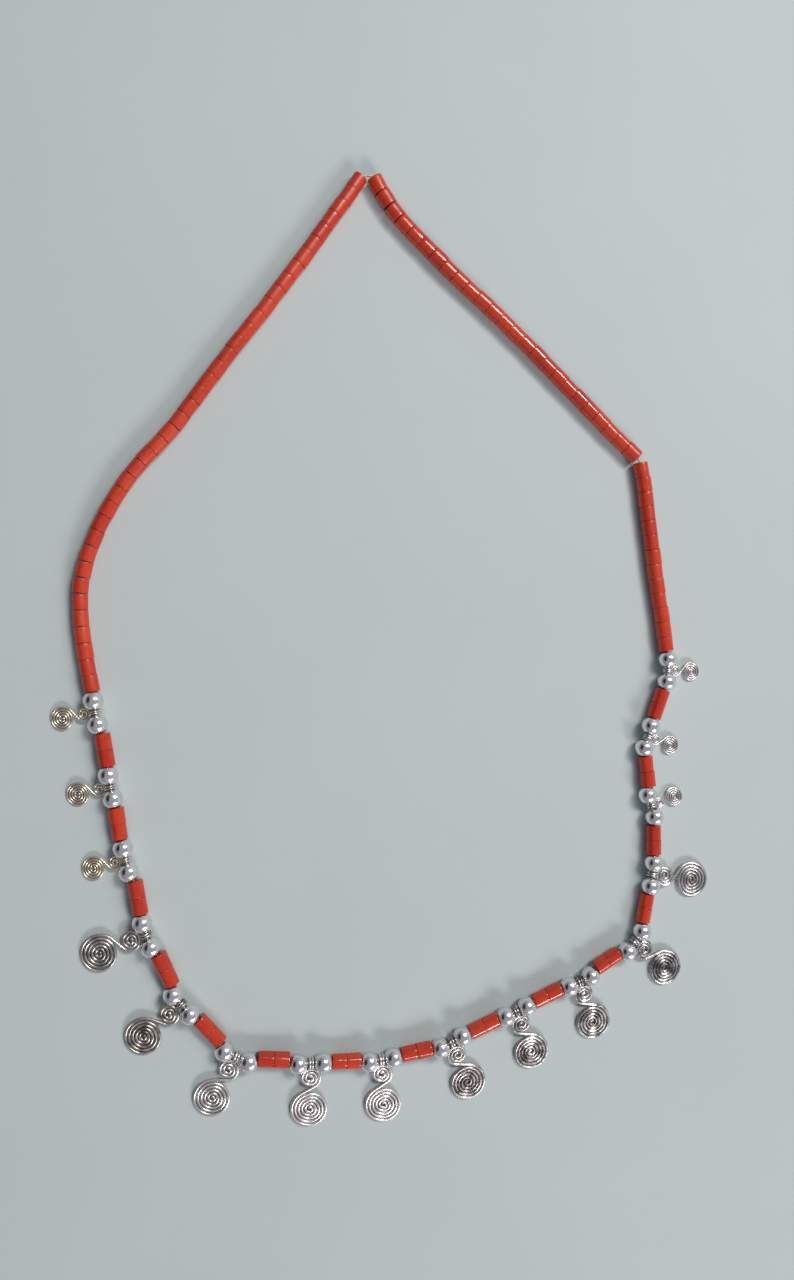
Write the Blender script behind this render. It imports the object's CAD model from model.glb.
import math
import bmesh
import bpy
from mathutils import Matrix, Vector, noise


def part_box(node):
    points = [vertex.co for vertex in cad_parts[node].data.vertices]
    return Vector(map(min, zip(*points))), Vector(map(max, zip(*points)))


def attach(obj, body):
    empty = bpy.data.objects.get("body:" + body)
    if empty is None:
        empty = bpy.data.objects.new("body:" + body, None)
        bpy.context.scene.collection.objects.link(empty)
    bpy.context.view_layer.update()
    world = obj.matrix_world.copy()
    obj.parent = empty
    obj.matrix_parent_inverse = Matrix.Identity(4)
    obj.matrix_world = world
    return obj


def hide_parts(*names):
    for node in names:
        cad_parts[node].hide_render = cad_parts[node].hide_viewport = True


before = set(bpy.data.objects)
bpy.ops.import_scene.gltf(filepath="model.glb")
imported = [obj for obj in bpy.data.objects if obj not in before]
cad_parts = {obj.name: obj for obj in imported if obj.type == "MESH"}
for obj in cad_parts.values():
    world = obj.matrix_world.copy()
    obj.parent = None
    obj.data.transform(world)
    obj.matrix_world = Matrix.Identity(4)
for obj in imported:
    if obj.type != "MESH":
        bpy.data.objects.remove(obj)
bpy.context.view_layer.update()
scene = bpy.context.scene
mm = 0.001
weldMm = 0.0005  # points closer than this are one point
print("frame loaded:", len(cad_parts), "nodes")

# Sockets of a Mix node that mixes colours: its factor, its two colours and its result
mixShare, mixA, mixB, mixed = 0, 6, 7, 2


def linear(hexText):  # sRGB hex to the linear colour that shaders use
    parts = [int(hexText[i:i + 2], 16) / 255 for i in (1, 3, 5)]
    return tuple(c / 12.92 if c <= 0.04045 else ((c + 0.055) / 1.055) ** 2.4 for c in parts) + (1.0,)


def limited(value):  # held between 0 and 1
    return max(0.0, min(1.0, value))


def scatter(i, k=0):  # even spread between -1 and 1, the same on every run
    return math.sin(12.9898 * (i + 1) + 4.1414 * k) * math.cos(7.233 * (i + 1) - 2.7 * k)


def addNode(tree, kind, settings=None, links=None):
    node = tree.nodes.new(kind)
    for key, value in (settings or {}).items():
        if isinstance(key, int) or key in node.inputs:
            node.inputs[key].default_value = value
        else:
            setattr(node, key, value)
    for key, source in (links or {}).items():
        tree.links.new(source, node.inputs[key])
    return node


def newMaterial(name):
    material = bpy.data.materials.new(name)
    material.use_nodes = True
    tree = material.node_tree
    tree.nodes.clear()
    return material, tree


def finishPiece(bm, name, material, smoothAngle=40):
    mesh = bpy.data.meshes.new(name)
    for face in bm.faces:
        face.smooth = True
    for edge in bm.edges:
        sharp = len(edge.link_faces) == 2 and edge.calc_face_angle(0) > math.radians(smoothAngle)
        edge.smooth = not sharp
    bm.to_mesh(mesh)
    bm.free()
    piece = bpy.data.objects.new(name, mesh)
    scene.collection.objects.link(piece)
    mesh.materials.append(material)
    return piece


# Camera, at the height and tilt worked out for the photograph
view = {"at": (-63.12, 3.72, 382.6), "tilt": -9.4, "lens": 27.56, "sensor": 36, "near": 10}
cameraData = bpy.data.cameras.new("camera")
cameraData.lens = view["lens"]
cameraData.sensor_width = view["sensor"]
cameraData.clip_start = view["near"] * mm
camera = bpy.data.objects.new("camera", cameraData)
camera.location = Vector(view["at"]) * mm
camera.rotation_euler = (0, math.radians(view["tilt"]), 0)
scene.collection.objects.link(camera)
scene.camera = camera

# Matt painted board: pale blue-grey, just uneven enough to break up the shade
floorLook = {"pale": "#C8D3D2", "shade": "#C2CDCC", "patchesPerMetre": 12, "roughness": 0.6, "gloss": 0.2,
             "halfMetres": 3}
floorMaterial, tree = newMaterial("paintedBoard")
place = addNode(tree, "ShaderNodeTexCoord")
patches = addNode(tree, "ShaderNodeTexNoise", {"Scale": floorLook["patchesPerMetre"], "Detail": 4},
                  {"Vector": place.outputs["Object"]})
tint = addNode(tree, "ShaderNodeMix",
               {"data_type": "RGBA", mixA: linear(floorLook["shade"]), mixB: linear(floorLook["pale"])},
               {mixShare: patches.outputs["Fac"]})
surface = addNode(tree, "ShaderNodeBsdfPrincipled",
                  {"Roughness": floorLook["roughness"], "Specular IOR Level": floorLook["gloss"]},
                  {"Base Color": tint.outputs[mixed]})
addNode(tree, "ShaderNodeOutputMaterial", links={"Surface": surface.outputs[0]})
bm = bmesh.new()
bmesh.ops.create_grid(bm, x_segments=1, y_segments=1, size=floorLook["halfMetres"])
floor = finishPiece(bm, "floor", floorMaterial)

# Two long soft boxes on the right, one towards the point and one beyond the charms, each
# with a large far light behind it that keeps the floor even
softBoxes = [
    {"name": "farBox", "at": (370, 410, 700), "size": (600, 130), "power": 2.5, "behind": 0.93, "tint": "#FFFAF6"},
    {"name": "nearBox", "at": (540, -1020, 700), "size": (800, 210), "power": 4.2, "behind": 0.7, "tint": "#FFF8F8"},
]
behindAngle = 16  # degrees across, so that its shadows are soft
for box in softBoxes:
    lampData = bpy.data.lights.new(box["name"], "AREA")
    lampData.shape = "RECTANGLE"
    lampData.size, lampData.size_y = box["size"][0] * mm, box["size"][1] * mm
    lampData.energy = box["power"]
    lampData.color = linear(box["tint"])[:3]
    lamp = bpy.data.objects.new(box["name"], lampData)
    back = Vector(box["at"]).normalized()  # the box faces the necklace, its long side level with the floor
    level = (Vector((1, 0, 0)) - back * back.x).normalized()
    facing = Matrix((level, back.cross(level), back)).transposed().to_4x4()
    lamp.matrix_world = Matrix.Translation(Vector(box["at"]) * mm) @ facing
    scene.collection.objects.link(lamp)
    behindData = bpy.data.lights.new(box["name"] + "Behind", "SUN")
    behindData.energy = box["behind"]
    behindData.angle = math.radians(behindAngle)
    behindData.color = lampData.color
    behind = bpy.data.objects.new(box["name"] + "Behind", behindData)
    behind.matrix_world = lamp.matrix_world
    scene.collection.objects.link(behind)

# The room that the silver mirrors: greyer on the left, with one dark flag there that gives
# the silver its contrast. Blends and the flag's place and reach are shares of a unit vector
room = {"ceiling": "#9C9AA5", "right": "#C6CBCC", "left": "#7F8482", "strength": 1.0, "fill": "#6B6F7A",
        "backdrop": "#B6BDBE", "wallBlend": 0.7, "ceilingFrom": 0.1, "ceilingTo": 0.75,
        "flag": "#1E1819", "flagWay": (0.61, 0.0, 0.79), "flagHigh": 0.36, "flagWide": 0.6, "flagAside": 0.15,
        "flagFrom": 1.25, "flagTo": 0.55}
world = bpy.data.worlds.new("room")
world.use_nodes = True
tree = world.node_tree
tree.nodes.clear()
toward = addNode(tree, "ShaderNodeTexCoord")
split = addNode(tree, "ShaderNodeSeparateXYZ", links={0: toward.outputs["Generated"]})
side = addNode(tree, "ShaderNodeMapRange",
               {"interpolation_type": "SMOOTHSTEP", "From Min": -room["wallBlend"], "From Max": room["wallBlend"]},
               {"Value": split.outputs["X"]})
height = addNode(tree, "ShaderNodeMapRange",
                 {"interpolation_type": "SMOOTHSTEP", "From Min": room["ceilingFrom"], "From Max": room["ceilingTo"]},
                 {"Value": split.outputs["Z"]})
walls = addNode(tree, "ShaderNodeMix", {"data_type": "RGBA", mixA: linear(room["left"]), mixB: linear(room["right"])},
                {mixShare: side.outputs["Result"]})
sky = addNode(tree, "ShaderNodeMix", {"data_type": "RGBA", mixB: linear(room["ceiling"])},
              {mixShare: height.outputs["Result"], mixA: walls.outputs[mixed]})
up = addNode(tree, "ShaderNodeVectorMath", {"operation": "DOT_PRODUCT", 1: room["flagWay"]},
             {0: toward.outputs["Generated"]})
upShare = addNode(tree, "ShaderNodeMath", {"operation": "DIVIDE", 1: room["flagHigh"]}, {0: up.outputs["Value"]})
asideShare = addNode(tree, "ShaderNodeMapRange",
                     {"clamp": False, "From Min": room["flagAside"], "From Max": room["flagAside"] + room["flagWide"]},
                     {"Value": split.outputs["Y"]})
flagPlace = addNode(tree, "ShaderNodeCombineXYZ", links={"X": upShare.outputs[0], "Y": asideShare.outputs["Result"]})
flagReach = addNode(tree, "ShaderNodeVectorMath", {"operation": "LENGTH"}, {0: flagPlace.outputs[0]})
flagMask = addNode(tree, "ShaderNodeMapRange",
                   {"interpolation_type": "SMOOTHSTEP", "From Min": room["flagFrom"], "From Max": room["flagTo"]},
                   {"Value": flagReach.outputs["Value"]})
leftOnly = addNode(tree, "ShaderNodeMath", {"operation": "LESS_THAN", 1: 0.0}, {0: split.outputs["X"]})
flagged = addNode(tree, "ShaderNodeMath", {"operation": "MULTIPLY"},
                  {0: flagMask.outputs["Result"], 1: leftOnly.outputs[0]})
seen = addNode(tree, "ShaderNodeMix", {"data_type": "RGBA", mixB: linear(room["flag"])},
               {mixShare: flagged.outputs[0], mixA: sky.outputs[mixed]})
rays = addNode(tree, "ShaderNodeLightPath")  # the room fills the shadows less than it shows in the silver
filled = addNode(tree, "ShaderNodeMix", {"data_type": "RGBA", mixB: linear(room["fill"])},
                 {mixShare: rays.outputs["Is Diffuse Ray"], mixA: seen.outputs[mixed]})
backed = addNode(tree, "ShaderNodeMix", {"data_type": "RGBA", mixB: linear(room["backdrop"])},
                 {mixShare: rays.outputs["Is Camera Ray"], mixA: filled.outputs[mixed]})
glow = addNode(tree, "ShaderNodeBackground", {"Strength": room["strength"]}, {"Color": backed.outputs[mixed]})
addNode(tree, "ShaderNodeOutputWorld", links={"Surface": glow.outputs[0]})
scene.world = world
scene.view_settings.view_transform = "Standard"
print("camera, floor and light made")

# Coral, sawn into tubes, drilled and tumbled: opaque orange-red with a waxy shine, faint
# growth lines along the branch, a few paler specks, and cut ends that took less polish
coralLook = {"deep": "#B42610", "lit": "#D7431E", "speck": "#E06A46", "end": "#A83020",
             "lineMm": 0.45, "lineStretch": 0.12, "lineShare": 0.14, "mottleMm": 2.4, "mottleShare": 0.2,
             "speckMm": 0.8, "speckFrom": 0.16, "speckTo": 0.05, "speckShare": 0.3, "wearPerMm": 0.9,
             "wearLeast": -0.05, "wearMost": 0.07, "glossy": 0.08, "satin": 0.4, "ior": 1.6,
             "bump": 0.16, "bumpMm": 0.04}
coralMaterial, tree = newMaterial("tumbledCoral")
place = addNode(tree, "ShaderNodeTexCoord")
tone = addNode(tree, "ShaderNodeAttribute", {"attribute_name": "tone"})
grain = addNode(tree, "ShaderNodeAttribute", {"attribute_name": "grain"})
polish = addNode(tree, "ShaderNodeAttribute", {"attribute_name": "polish"})
cutEnd = addNode(tree, "ShaderNodeAttribute", {"attribute_name": "cutEnd"})
linesPerMm = 1 / coralLook["lineMm"]
stretched = addNode(tree, "ShaderNodeMapping",
                    {"Scale": (linesPerMm, linesPerMm, coralLook["lineStretch"] / coralLook["lineMm"])},
                    {"Vector": grain.outputs["Vector"]})
growth = addNode(tree, "ShaderNodeTexNoise", {"Scale": 1.0, "Detail": 3, "Roughness": 0.6},
                 {"Vector": stretched.outputs[0]})
mottle = addNode(tree, "ShaderNodeTexNoise", {"Scale": 1000 / coralLook["mottleMm"], "Detail": 3},
                 {"Vector": place.outputs["Object"]})
specks = addNode(tree, "ShaderNodeTexVoronoi", {"Scale": 1000 / coralLook["speckMm"]},
                 {"Vector": place.outputs["Object"]})
growthShare = addNode(tree, "ShaderNodeMapRange",
                      {"From Min": 0.3, "From Max": 0.7, "To Min": -coralLook["lineShare"],
                       "To Max": coralLook["lineShare"]}, {"Value": growth.outputs["Fac"]})
mottleShare = addNode(tree, "ShaderNodeMapRange",
                      {"From Min": 0.3, "From Max": 0.7, "To Min": -coralLook["mottleShare"],
                       "To Max": coralLook["mottleShare"]}, {"Value": mottle.outputs["Fac"]})
summed = addNode(tree, "ShaderNodeMath", {"operation": "ADD"}, {0: growthShare.outputs[0], 1: mottleShare.outputs[0]})
toned = addNode(tree, "ShaderNodeMath", {"operation": "ADD", "use_clamp": True},
                {0: summed.outputs[0], 1: tone.outputs["Fac"]})
body = addNode(tree, "ShaderNodeMix",
               {"data_type": "RGBA", mixA: linear(coralLook["deep"]), mixB: linear(coralLook["lit"])},
               {mixShare: toned.outputs[0]})
speckMask = addNode(tree, "ShaderNodeMapRange",
                    {"From Min": coralLook["speckFrom"], "From Max": coralLook["speckTo"],
                     "To Max": coralLook["speckShare"]}, {"Value": specks.outputs["Distance"]})
specked = addNode(tree, "ShaderNodeMix", {"data_type": "RGBA", mixB: linear(coralLook["speck"])},
                  {mixShare: speckMask.outputs[0], mixA: body.outputs[mixed]})
ended = addNode(tree, "ShaderNodeMix", {"data_type": "RGBA", mixB: linear(coralLook["end"])},
                {mixShare: cutEnd.outputs["Fac"], mixA: specked.outputs[mixed]})
wear = addNode(tree, "ShaderNodeTexNoise", {"Scale": 1000 * coralLook["wearPerMm"], "Detail": 4},
               {"Vector": place.outputs["Object"]})
shine = addNode(tree, "ShaderNodeMapRange", {"To Min": coralLook["satin"], "To Max": coralLook["glossy"]},
                {"Value": polish.outputs["Fac"]})
patchy = addNode(tree, "ShaderNodeMapRange",
                 {"From Min": 0.3, "From Max": 0.7, "To Min": coralLook["wearLeast"],
                  "To Max": coralLook["wearMost"]}, {"Value": wear.outputs["Fac"]})
rough = addNode(tree, "ShaderNodeMath", {"operation": "ADD"}, {0: shine.outputs[0], 1: patchy.outputs[0]})
ridges = addNode(tree, "ShaderNodeMath", {"operation": "ADD"}, {0: growth.outputs["Fac"], 1: wear.outputs["Fac"]})
bump = addNode(tree, "ShaderNodeBump", {"Strength": coralLook["bump"], "Distance": coralLook["bumpMm"] * mm},
               {"Height": ridges.outputs[0]})
surface = addNode(tree, "ShaderNodeBsdfPrincipled", {"IOR": coralLook["ior"]},
                  {"Base Color": ended.outputs[mixed], "Roughness": rough.outputs[0], "Normal": bump.outputs[0]})
addNode(tree, "ShaderNodeOutputMaterial", links={"Surface": surface.outputs[0]})

# Silver, pressed in two halves, soldered and buffed: a near mirror with faint buffing haze,
# and a darker lip where polish and dust stay round the hole
ballLook = {"silver": "#E9E8EA", "lip": "#6E6A66", "hazeMm": 1.6, "mirror": 0.17, "haze": 0.23,
            "bump": 0.08, "bumpMm": 0.03}
ballMaterial, tree = newMaterial("buffedSilver")
place = addNode(tree, "ShaderNodeTexCoord")
recess = addNode(tree, "ShaderNodeAttribute", {"attribute_name": "recess"})
haze = addNode(tree, "ShaderNodeTexNoise", {"Scale": 1000 / ballLook["hazeMm"], "Detail": 5, "Roughness": 0.65},
               {"Vector": place.outputs["Object"]})
lip = addNode(tree, "ShaderNodeMix",
              {"data_type": "RGBA", mixA: linear(ballLook["silver"]), mixB: linear(ballLook["lip"])},
              {mixShare: recess.outputs["Fac"]})
rough = addNode(tree, "ShaderNodeMapRange",
                {"From Min": 0.35, "From Max": 0.75, "To Min": ballLook["mirror"], "To Max": ballLook["haze"]},
                {"Value": haze.outputs["Fac"]})
bump = addNode(tree, "ShaderNodeBump", {"Strength": ballLook["bump"], "Distance": ballLook["bumpMm"] * mm},
               {"Height": haze.outputs["Fac"]})
surface = addNode(tree, "ShaderNodeBsdfPrincipled", {"Metallic": 1.0},
                  {"Base Color": lip.outputs[mixed], "Roughness": rough.outputs[0], "Normal": bump.outputs[0]})
addNode(tree, "ShaderNodeOutputMaterial", links={"Surface": surface.outputs[0]})

# Silver wire, drawn and wound by hand: satin crowns with draw lines, and grey-brown
# tarnish down in the grooves where no cloth reaches. Some charms have gone warmer or darker
wireLook = {"bright": "#E8E5E4", "warm": "#E4D8BE", "dark": "#6C6967", "groove": "#BAB6B3", "cloudMm": 3.2,
            "drawLinesPerMm": 5.2, "smooth": 0.25, "dull": 0.32, "bump": 0.03, "bumpMm": 0.02}
wireMaterial, tree = newMaterial("drawnSilverWire")
place = addNode(tree, "ShaderNodeTexCoord")
groove = addNode(tree, "ShaderNodeAttribute", {"attribute_name": "groove"})
warmth = addNode(tree, "ShaderNodeAttribute", {"attribute_name": "warmth"})
tarnish = addNode(tree, "ShaderNodeAttribute", {"attribute_name": "tarnish"})
clouds = addNode(tree, "ShaderNodeTexNoise", {"Scale": 1000 / wireLook["cloudMm"], "Detail": 4, "Roughness": 0.6},
                 {"Vector": place.outputs["Object"]})
fine = addNode(tree, "ShaderNodeTexNoise", {"Scale": 1000 * wireLook["drawLinesPerMm"], "Detail": 2},
               {"Vector": place.outputs["Object"]})
warmed = addNode(tree, "ShaderNodeMix",
                 {"data_type": "RGBA", mixA: linear(wireLook["bright"]), mixB: linear(wireLook["warm"])},
                 {mixShare: warmth.outputs["Fac"]})
cloudShare = addNode(tree, "ShaderNodeMapRange", {"From Min": 0.35, "From Max": 0.7},
                     {"Value": clouds.outputs["Fac"]})
tarnishShare = addNode(tree, "ShaderNodeMath", {"operation": "MULTIPLY"},
                       {0: cloudShare.outputs[0], 1: tarnish.outputs["Fac"]})
darkened = addNode(tree, "ShaderNodeMix", {"data_type": "RGBA", mixB: linear(wireLook["dark"])},
                   {mixShare: tarnishShare.outputs[0], mixA: warmed.outputs[mixed]})
grooved = addNode(tree, "ShaderNodeMix", {"data_type": "RGBA", mixB: linear(wireLook["groove"])},
                  {mixShare: groove.outputs["Fac"], mixA: darkened.outputs[mixed]})
rough = addNode(tree, "ShaderNodeMapRange",
                {"From Min": 0.3, "From Max": 0.75, "To Min": wireLook["smooth"], "To Max": wireLook["dull"]},
                {"Value": clouds.outputs["Fac"]})
bump = addNode(tree, "ShaderNodeBump", {"Strength": wireLook["bump"], "Distance": wireLook["bumpMm"] * mm},
               {"Height": fine.outputs["Fac"]})
surface = addNode(tree, "ShaderNodeBsdfPrincipled", {"Metallic": 1.0},
                  {"Base Color": grooved.outputs[mixed], "Roughness": rough.outputs[0], "Normal": bump.outputs[0]})
addNode(tree, "ShaderNodeOutputMaterial", links={"Surface": surface.outputs[0]})

# Polyester beading thread, twisted and waxed: off-white, with a fine ply. A wave's bands lie
# 2 pi / 20 apart at a scale of 1, so the ply is drawn 2.2 mm wide, which still shows
threadLook = {"pale": "#F1ECE0", "shade": "#D2CAB9", "plyMm": 0.35, "roughness": 0.5, "bump": 0.4, "bumpMm": 0.05}
threadMaterial, tree = newMaterial("waxedThread")
place = addNode(tree, "ShaderNodeTexCoord")
ply = addNode(tree, "ShaderNodeTexWave",
              {"Scale": 1000 / threadLook["plyMm"] / 20, "Distortion": 1.5, "bands_direction": "DIAGONAL"},
              {"Vector": place.outputs["Object"]})
tint = addNode(tree, "ShaderNodeMix",
               {"data_type": "RGBA", mixA: linear(threadLook["shade"]), mixB: linear(threadLook["pale"])},
               {mixShare: ply.outputs["Fac"]})
bump = addNode(tree, "ShaderNodeBump", {"Strength": threadLook["bump"], "Distance": threadLook["bumpMm"] * mm},
               {"Height": ply.outputs["Fac"]})
surface = addNode(tree, "ShaderNodeBsdfPrincipled", {"Roughness": threadLook["roughness"]},
                  {"Base Color": tint.outputs[mixed], "Normal": bump.outputs[0]})
addNode(tree, "ShaderNodeOutputMaterial", links={"Surface": surface.outputs[0]})
print("materials made")


# Where the beads lie is read from the frame's own solids: the centre, the direction of the
# hole, the half length and the radius of each loose solid, in mm
def beadsOf(nodeName):
    bm = bmesh.new()
    bm.from_mesh(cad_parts[nodeName].data)
    bmesh.ops.scale(bm, vec=(1000, 1000, 1000), verts=bm.verts)
    bmesh.ops.remove_doubles(bm, verts=bm.verts, dist=weldMm)
    bmesh.ops.recalc_face_normals(bm, faces=bm.faces)
    seen, beads = set(), []
    for first in bm.verts:
        if first in seen:
            continue
        island, queue = [], [first]
        seen.add(first)
        while queue:
            vert = queue.pop()
            island.append(vert)
            for edge in vert.link_edges:
                other = edge.other_vert(vert)
                if other not in seen:
                    seen.add(other)
                    queue.append(other)
        flats = {}  # the two cut ends are the largest upright flat areas
        for face in {f for v in island for f in v.link_faces}:
            n = face.normal
            if abs(n.z) < 0.01:
                way = n if n.x > 0 or (abs(n.x) < 1e-4 and n.y > 0) else -n
                key = (round(way.x, 2), round(way.y, 2))
                flats.setdefault(key, [0, Vector((0, 0, 0))])
                flats[key][0] += face.calc_area()
                flats[key][1] += way * face.calc_area()
        along = max(flats.values(), key=lambda f: f[0])[1].normalized()
        across = Vector((-along.y, along.x, 0))
        reach = [v.co.dot(along) for v in island]
        sideways = [v.co.dot(across) for v in island]
        heights = [v.co.z for v in island]
        centre = (along * (max(reach) + min(reach)) + across * (max(sideways) + min(sideways))) / 2
        centre.z = (max(heights) + min(heights)) / 2
        beads.append({"centre": centre, "along": along, "half": (max(reach) - min(reach)) / 2,
                      "radius": (max(heights) - min(heights)) / 2})
    bm.free()
    return beads


def turnProfile(bm, profile, steps):  # spins an outline of (radius, along) points into a bead on the Z axis
    start = len(bm.verts)
    verts = [bm.verts.new((r, 0, z)) for r, z in profile]
    edges = [bm.edges.new((verts[i], verts[(i + 1) % len(verts)])) for i in range(len(verts))]
    bmesh.ops.spin(bm, geom=verts + edges, cent=(0, 0, 0), axis=(0, 0, 1), angle=2 * math.pi, steps=steps,
                   use_merge=True, use_duplicate=False)
    bm.verts.ensure_lookup_table()
    made = bm.verts[start:]
    bmesh.ops.recalc_face_normals(bm, faces=list({f for v in made for f in v.link_faces}))
    return made


def layBead(made, bead):  # from the Z axis to its place on the strand, in metres
    turn = Vector((0, 0, 1)).rotation_difference(bead["along"]).to_matrix()
    for vert in made:
        vert.co = (turn @ vert.co + bead["centre"]) * mm


# Coral tubes: sawn a little out of square, with soft edges, a countersunk hole and an uneven
# skin. They are a little longer than their solids, so that the joints look closed
coralTube = {"edge": 0.12, "edgeTurns": (90, 67, 45, 23, 0), "around": 40,  # radius and points of the soft edge
             "bore": 2.2, "countersink": 0.15,
             "longer": 0.065, "cutTilt": 0.9, "thinner": 0.035,  # mm at each end, degrees at most, mm on average
             "uneven": 0.05, "inward": 0.3, "lumps": (0.35, 0.35, 0.3), "plainRoundHole": 0.5,  # the skin
             "tone": 0.5, "toneSpread": 0.3, "grainShift": 40,  # so that no two tubes have the same lines
             "endShare": 0.8, "endInside": 0.02}  # how far the cut end shows, and where it starts


def makeCoral(nodeName, seed, polishOf):
    bm = bmesh.new()
    tone, polish = bm.verts.layers.float.new("tone"), bm.verts.layers.float.new("polish")
    cutEnd, grain = bm.verts.layers.float.new("cutEnd"), bm.verts.layers.float_vector.new("grain")
    beads = beadsOf(nodeName)
    for i, bead in enumerate(beads):
        half, outer, inner = bead["half"] + coralTube["longer"], bead["radius"], coralTube["bore"] / 2
        edge, sink = coralTube["edge"], coralTube["countersink"]
        corner = [(outer - edge * (1 - math.sin(a)), half - edge * (1 - math.cos(a))) for a in
                  [math.radians(d) for d in coralTube["edgeTurns"]]]
        side = [(outer, half * t) for t in (0.6, 0.2, -0.2, -0.6)]
        top = [(outer * 0.75, half), (inner + sink, half), (inner, half - sink), (inner, half * 0.4)]
        profile = [(r, z) for r, z in reversed(top)] + list(reversed(corner)) + side \
            + [(r, -z) for r, z in corner] + [(r, -z) for r, z in top]
        made = turnProfile(bm, profile, coralTube["around"])
        tilt = [coralTube["cutTilt"] * scatter(seed + i, k) * math.pi / 180 for k in (1, 2)]
        for vert in made:
            radial = Vector((vert.co.x, vert.co.y, 0))
            vert[grain] = vert.co + Vector((0, 0, coralTube["grainShift"] * scatter(seed + i, 3)))
            vert[tone] = coralTube["tone"] + coralTube["toneSpread"] * scatter(seed + i, 4)
            vert[polish] = polishOf(i, bead)
            nearEnd = (abs(vert.co.z) - (half - edge)) / edge
            onEnd = radial.length < outer - coralTube["endInside"]
            vert[cutEnd] = limited(nearEnd) * coralTube["endShare"] if onEnd else 0.0
            lump = Vector(c * s for c, s in zip(vert.co, coralTube["lumps"]))
            swell = noise.noise(lump + Vector((seed * 3 + i * 7, 0, 0)))
            if radial.length > inner + coralTube["plainRoundHole"]:
                vert.co += radial.normalized() * (coralTube["uneven"] * (swell - coralTube["inward"])
                                                  - coralTube["thinner"] * (1 + scatter(seed + i, 5)))
            nearness = (abs(vert.co.z) / half) ** 4  # the cuts tilt, and the middle stays
            lean = math.sin(tilt[0]) * vert.co.x + math.sin(tilt[1]) * vert.co.y
            vert.co.z += math.copysign(1, vert.co.z) * nearness * lean * 0.5
        layBead(made, bead)
    piece = finishPiece(bm, nodeName + "_tubes", coralMaterial)
    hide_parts(nodeName)
    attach(piece, "root")
    return len(beads)


# How far the tubes are polished: a middle value and a spread for each stretch
tubePolish = {"left": (0.15, 0.3), "right": (0.4, 0.35), "shiny": (0.95, 0.05), "pairs": (0.96, 0.04),
              "shinyAbove": 75, "shinyFrom": 5, "shinyTo": 95}


def polished(stretch, i):
    middle, spread = tubePolish[stretch]
    return middle + spread * scatter(i, 6)


def polishOnRight(i, bead):  # the tubes near the point on the right are the shiniest
    c = bead["centre"]
    shiny = c.y > tubePolish["shinyAbove"] and tubePolish["shinyFrom"] < c.x < tubePolish["shinyTo"]
    return polished("shiny" if shiny else "right", i)


count = makeCoral("coral_run_left", 3, lambda i, bead: polished("left", i))
count += makeCoral("coral_run_right", 61, polishOnRight)
for pair in range(1, 16):
    count += makeCoral(f"coral_pair_{pair}", 120 + 5 * pair, lambda i, bead: polished("pairs", i + 3 * pair))
print("coral tubes made:", count)

# Silver balls: a flat and a dished lip round the hole, given as (outwards, down) steps
silverBall = {"bore": 2.4, "lip": 0.32, "lipSteps": ((0, 1.2), (0.06, 0.5), (0.2, 0.12)),
              "flat": 0.45, "flatDip": 0.005, "shellDip": 0.01,  # the flat, and where the round shell starts
              "holeEdge": 0.8, "around": 48, "rings": 22,
              "dustTo": 0.6, "dustFade": 0.5}  # how far from the hole the darker lip reaches


def makeBalls(nodeName):
    bm = bmesh.new()
    recess = bm.verts.layers.float.new("recess")
    for bead in beadsOf(nodeName):
        outer, half, inner, lip = bead["radius"], bead["half"], silverBall["bore"] / 2, silverBall["lip"]
        startAngle, rings = math.acos((half - silverBall["shellDip"]) / outer), silverBall["rings"]
        arc = [startAngle + (math.pi - 2 * startAngle) * t / rings for t in range(rings + 1)]
        shell = [(outer * math.sin(a), outer * math.cos(a)) for a in arc]
        flat = inner + silverBall["flat"]
        rim = [(inner + out, half - down * lip) for out, down in silverBall["lipSteps"]]
        rim += [(flat, half - silverBall["flatDip"]), ((flat + shell[0][0]) / 2, half)]
        profile = [(inner, silverBall["holeEdge"])] + rim + shell + [(r, -z) for r, z in reversed(rim)] \
            + [(inner, -silverBall["holeEdge"])]
        made = turnProfile(bm, profile, silverBall["around"])
        for vert in made:
            radius = math.hypot(vert.co.x, vert.co.y)
            vert[recess] = limited((inner + silverBall["dustTo"] - radius) / silverBall["dustFade"])
        layBead(made, bead)
    piece = finishPiece(bm, nodeName + "_balls", ballMaterial, 60)
    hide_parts(nodeName)
    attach(piece, "root")


for pair in range(1, 17):
    makeBalls(f"ball_pair_{pair}")
print("silver balls made")

# Double-spiral charms, in the sizes that their solids have
charmSizes = {
    "large": {"wire": 1.15, "pitch": 1.32, "discEye": 0.88, "discHalves": 10, "curlEye": 1.00, "curlHalves": 5,
              "apart": 11.90, "ringWire": 0.95, "ringWidth": 4.7, "ringOut": 0.35, "ringUp": 2.70},
    "medium": {"wire": 0.80, "pitch": 0.96, "discEye": 0.86, "discHalves": 8, "curlEye": 0.85, "curlHalves": 4,
               "apart": 7.70, "ringWire": 0.70, "ringWidth": 4.0, "ringOut": 0.40, "ringUp": 2.80},
    "small": {"wire": 0.75, "pitch": 0.90, "discEye": 0.50, "discHalves": 8, "curlEye": 0.62, "curlHalves": 4,
              "apart": 7.15, "ringWire": 0.70, "ringWidth": 4.2, "ringOut": 0.50, "ringUp": 2.80},
}
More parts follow.
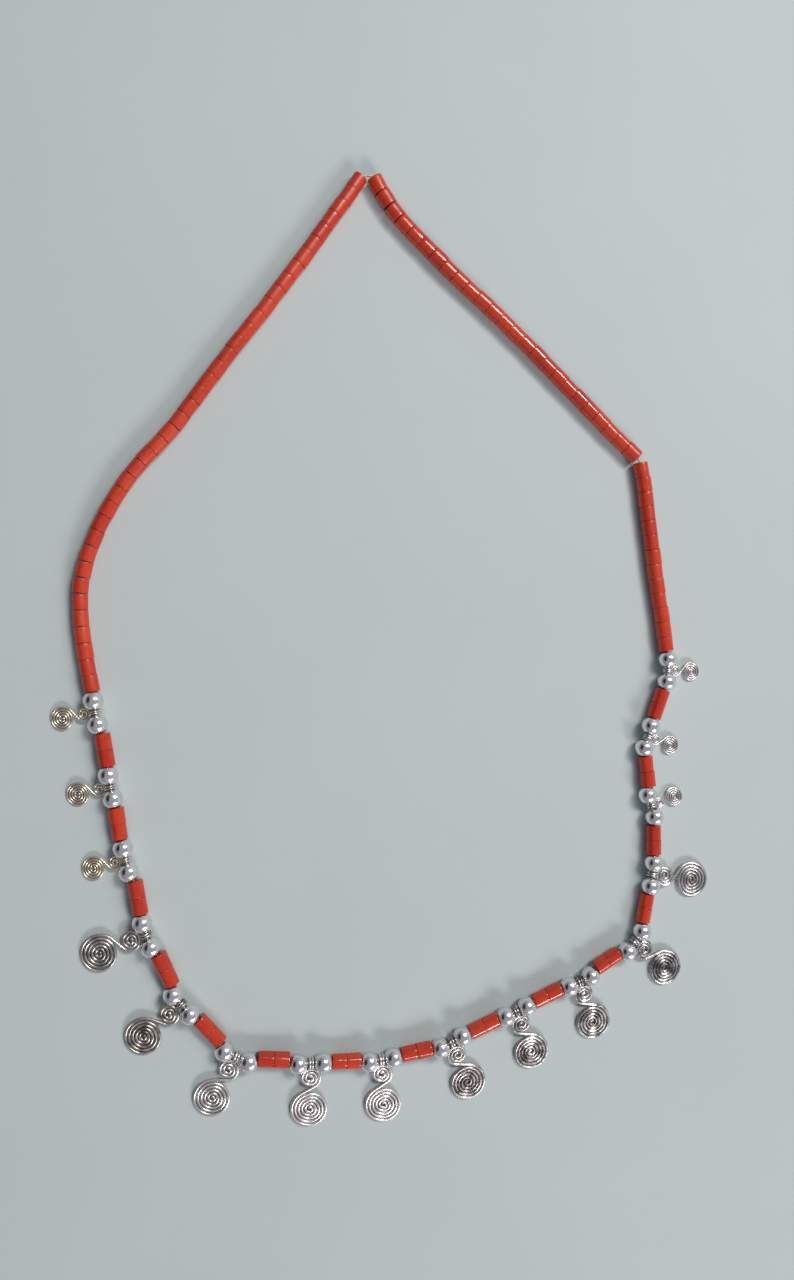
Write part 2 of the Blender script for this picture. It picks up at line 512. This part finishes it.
# Place on the thread, direction of the thread, size, winding, swing, roll, warmth and tarnish
charms = [
    (-114.0, -27.0, -80, "medium", 1, 1, 0, 0.9, 0.0),
    (-108.5, -55.0, -79, "medium", 1, 2, 2, 0.8, 0.3),
    (-103.0, -82.5, -77, "medium", 1, 2, -2, 1.0, 0.0),
    (-95.5, -111.0, -71, "large", 1, 2, 0, 0.35, 1.3),
    (-82.5, -138.0, -51, "large", 1, 1, 1, 0.5, 1.4),
    (-62.0, -159.0, -27, "large", 1, -3, 0, 0.15, 0.4),
    (-33.5, -163.5, -1, "large", 1, -1, 1, 0.1, 0.1),
    (-6.0, -164.0, 6, "large", 1, -3, 0, 0.1, 0.0),
    (22.0, -159.0, 25, "large", -1, -3, 0, 0.2, 1.6),
    (48.5, -148.5, 22, "large", -1, -1, -1, 0.1, 1.9),
    (75.0, -138.0, 23, "large", -1, -3, 0, 0.1, 1.9),
    (98.5, -123.0, 52, "large", -1, -3, 1, 0.05, 1.9),
    (106.0, -96.0, 82, "large", -1, -2, 0, 0.05, 1.1),
    (105.5, -68.0, 108, "small", -1, -2, 2, 0.1, 0.7),
    (104.0, -39.5, 72, "small", -1, -2, 0, 0.1, 0.45),
    (112.5, -12.5, 87, "small", -1, 0, -2, 0.1, 0.3),
]
loopCentre = (0.42, -3.72)
charmMake = {"stepMm": 0.33, "fewestSteps": 10, "sides": 5,
             "tipSteps": (0.45, 0.8, 0.97),  # in wire radii beyond the end of the wire
             "tipWidths": (0.25, 0.62, 0.9),  # in wire radii, from the tip inwards
             "ringSteps": 56, "ringTip": (0.9,), "ringSplit": 0.1,
             "crossFrom": 0.93, "crossLong": 0.14,  # in turns
             "solder": 0.35, "offSolid": 0.2}
wireShade = {"spiralStart": 1.15, "spiralFall": 1.5, "spiralMost": 0.9,  # grooves, by the slope of the wire
             "ringRise": 1.2, "ringStart": 0.5, "ringMost": 0.7, "ringGroove": 0.35, "ringEdge": 0.05,
             "tarnishEye": 1.15, "tarnishFall": 0.5}  # most in the middle of the disc, least from its rim on
solderDrop = {"wide": 0.85, "long": 0.5, "high": 0.47, "inward": 0.2, "around": 16, "rings": 10,
              "tarnish": 0.6, "groove": 0.25}


def spiralPath(eye, halves, step, hand):  # half circles wound inwards from the outer end on +X
    outer, points = eye + (halves - 1) * step, []
    for k in range(halves):
        centre, radius = (-step if k % 2 else 0.0), outer - k * step
        steps = max(charmMake["fewestSteps"], round(math.pi * radius / charmMake["stepMm"]))
        for s in range(steps + (k == halves - 1)):
            a = hand * math.pi * (k + s / steps)
            points.append(Vector((centre + radius * math.cos(a), radius * math.sin(a), 0)))
    return points


def wireFrom(paths):  # round wire along each path, as one mesh; a path is (points, radius, rounded ends)
    curve = bpy.data.curves.new("wirePath", "CURVE")
    curve.dimensions = "3D"
    curve.bevel_depth = 1
    curve.bevel_resolution = charmMake["sides"]
    curve.use_fill_caps = True
    for points, radius, rounded in paths:
        spline = curve.splines.new("POLY")
        spline.points.add(len(points) - 1)
        for point, target in zip(points, spline.points):
            target.co = (*point, 1)
            target.radius = radius
        for k, share in enumerate(rounded):
            spline.points[k].radius = radius * share
            spline.points[-1 - k].radius = radius * share
    holder = bpy.data.objects.new("wirePath", curve)
    scene.collection.objects.link(holder)
    mesh = bpy.data.meshes.new_from_object(holder.evaluated_get(bpy.context.evaluated_depsgraph_get()))
    bm = bmesh.new()
    bm.from_mesh(mesh)
    bpy.data.objects.remove(holder)
    bpy.data.curves.remove(curve)
    bpy.data.meshes.remove(mesh)
    bmesh.ops.remove_doubles(bm, verts=bm.verts, dist=weldMm)
    return bm


def roundEnd(points, radius, side):  # a short rounded tip beyond the end of a wire
    tip, back = (points[0], points[1]) if side == 0 else (points[-1], points[-2])
    way = (tip - back).normalized()
    return [tip + way * radius * t for t in charmMake["tipSteps"]]


def makeCharm(number, x, y, run, sizeName, hand, swing, roll, warmthValue, tarnishValue):
    size = charmSizes[sizeName]
    step, wire = size["pitch"] / 2, size["wire"]
    discOuter = size["discEye"] + (size["discHalves"] - 1) * step
    curlOuter = size["curlEye"] + (size["curlHalves"] - 1) * step
    curlY = -(size["ringWidth"] / 2 - charmMake["solder"] + wire / 2 + curlOuter)
    slant = math.acos((discOuter + curlOuter) / size["apart"])

    def handed(a):
        return a if hand > 0 else math.pi - a

    discTurn = Matrix.Rotation(handed(math.pi / 2 + slant), 3, "Z")
    curlTurn = Matrix.Rotation(handed(slant - math.pi / 2), 3, "Z")
    discAt, curlAt = Vector((0, curlY - size["apart"], 0)), Vector((0, curlY, 0))
    disc = [discTurn @ p + discAt for p in spiralPath(size["discEye"], size["discHalves"], step, hand)]
    curl = [curlTurn @ p + curlAt for p in spiralPath(size["curlEye"], size["curlHalves"], step, hand)]
    path = list(reversed(disc)) + [disc[0].lerp(curl[0], t) for t in (0.25, 0.5, 0.75)] + curl
    path = list(reversed(roundEnd(path, wire / 2, 0))) + path + roundEnd(path, wire / 2, 1)
    # The bail: two turns of thinner wire, which cross over where they meet the curl
    ringRadius, apart = (size["ringWidth"] - size["ringWire"]) / 2, size["ringWire"] + charmMake["ringSplit"]
    ring = []
    for s in range(2 * charmMake["ringSteps"] + 1):
        turns = s / charmMake["ringSteps"]
        t = limited((turns - charmMake["crossFrom"]) / charmMake["crossLong"])
        a = -math.pi / 2 + 2 * math.pi * turns
        ring.append(Vector((apart * (t * t * (3 - 2 * t) - 0.5), ringRadius * math.sin(a), ringRadius * math.cos(a))))
    bm = wireFrom([(path, wire / 2, charmMake["tipWidths"]), (ring, size["ringWire"] / 2, charmMake["ringTip"])])
    groove, warmth, tarnish = (bm.verts.layers.float.new(n) for n in ("groove", "warmth", "tarnish"))
    bm.normal_update()
    ringEdge = -size["ringWidth"] / 2 + wireShade["ringEdge"]
    for vert in bm.verts:
        n = vert.normal
        if vert.co.y < ringEdge:
            depth = limited(wireShade["spiralStart"] - wireShade["spiralFall"] * abs(n.z))
            vert[groove] = depth * wireShade["spiralMost"]
        else:
            depth = limited(abs(n.x) * wireShade["ringRise"] - wireShade["ringStart"])
            vert[groove] = depth * wireShade["ringMost"] * (abs(vert.co.x) < wireShade["ringGroove"])
        outwards = min(1.0, (vert.co - discAt).length / discOuter)
        vert[tarnish] = tarnishValue * (wireShade["tarnishEye"] - wireShade["tarnishFall"] * outwards)
        vert[warmth] = warmthValue
    # Solder that has run between the bail and the curl
    start = len(bm.verts)
    bmesh.ops.create_uvsphere(bm, u_segments=solderDrop["around"], v_segments=solderDrop["rings"], radius=1)
    bm.verts.ensure_lookup_table()
    solder = bm.verts[start:]
    solderAt = Vector((0, -size["ringWidth"] / 2 + solderDrop["inward"], 0))
    for vert in solder:
        vert.co = Vector((vert.co.x * apart * solderDrop["wide"], vert.co.y * solderDrop["long"],
                          vert.co.z * wire * solderDrop["high"])) + solderAt
        vert[tarnish], vert[warmth], vert[groove] = solderDrop["tarnish"], warmthValue, solderDrop["groove"]
    # The charm leans down from its ring until the disc lies on the surface
    far = size["apart"] - curlY + discOuter
    level = (size["ringUp"] - wire / 2) / far
    rollAngle = math.radians(roll)
    lean = math.asin(level - discOuter * math.sin(rollAngle) ** 2 / (2 * level * far))
    place = Matrix.Scale(mm, 4) @ Matrix.Translation((x - loopCentre[0], y - loopCentre[1], size["ringUp"])) \
        @ Matrix.Rotation(math.radians(run), 4, "Z") @ Matrix.Translation((0, -size["ringOut"], 0)) \
        @ Matrix.Rotation(math.radians(swing), 4, "Z") @ Matrix.Rotation(lean, 4, "X") \
        @ Matrix.Rotation(rollAngle, 4, "Y")
    bmesh.ops.transform(bm, matrix=place, verts=bm.verts)
    bmesh.ops.recalc_face_normals(bm, faces=bm.faces)
    nodeName = f"charm_{number}"
    piece = finishPiece(bm, nodeName + "_wire", wireMaterial, 70)
    low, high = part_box(nodeName)
    made = [Vector(f(v.co[k] for v in piece.data.vertices) for k in range(3)) for f in (min, max)]
    off = max(abs(a - b) for a, b in zip([*low, *high], [*made[0], *made[1]])) / mm
    if off > charmMake["offSolid"]:
        print(nodeName, "is off its solid by", round(off, 2), "mm")
    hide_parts(nodeName)
    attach(piece, "root")
    return len(piece.data.polygons)


faces = sum(makeCharm(k + 1, *row) for k, row in enumerate(charms))
print("charms made:", len(charms), "with", faces, "faces")

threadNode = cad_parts["thread"]
threadNode.data.materials.clear()
threadNode.data.materials.append(threadMaterial)
print("thread finished")
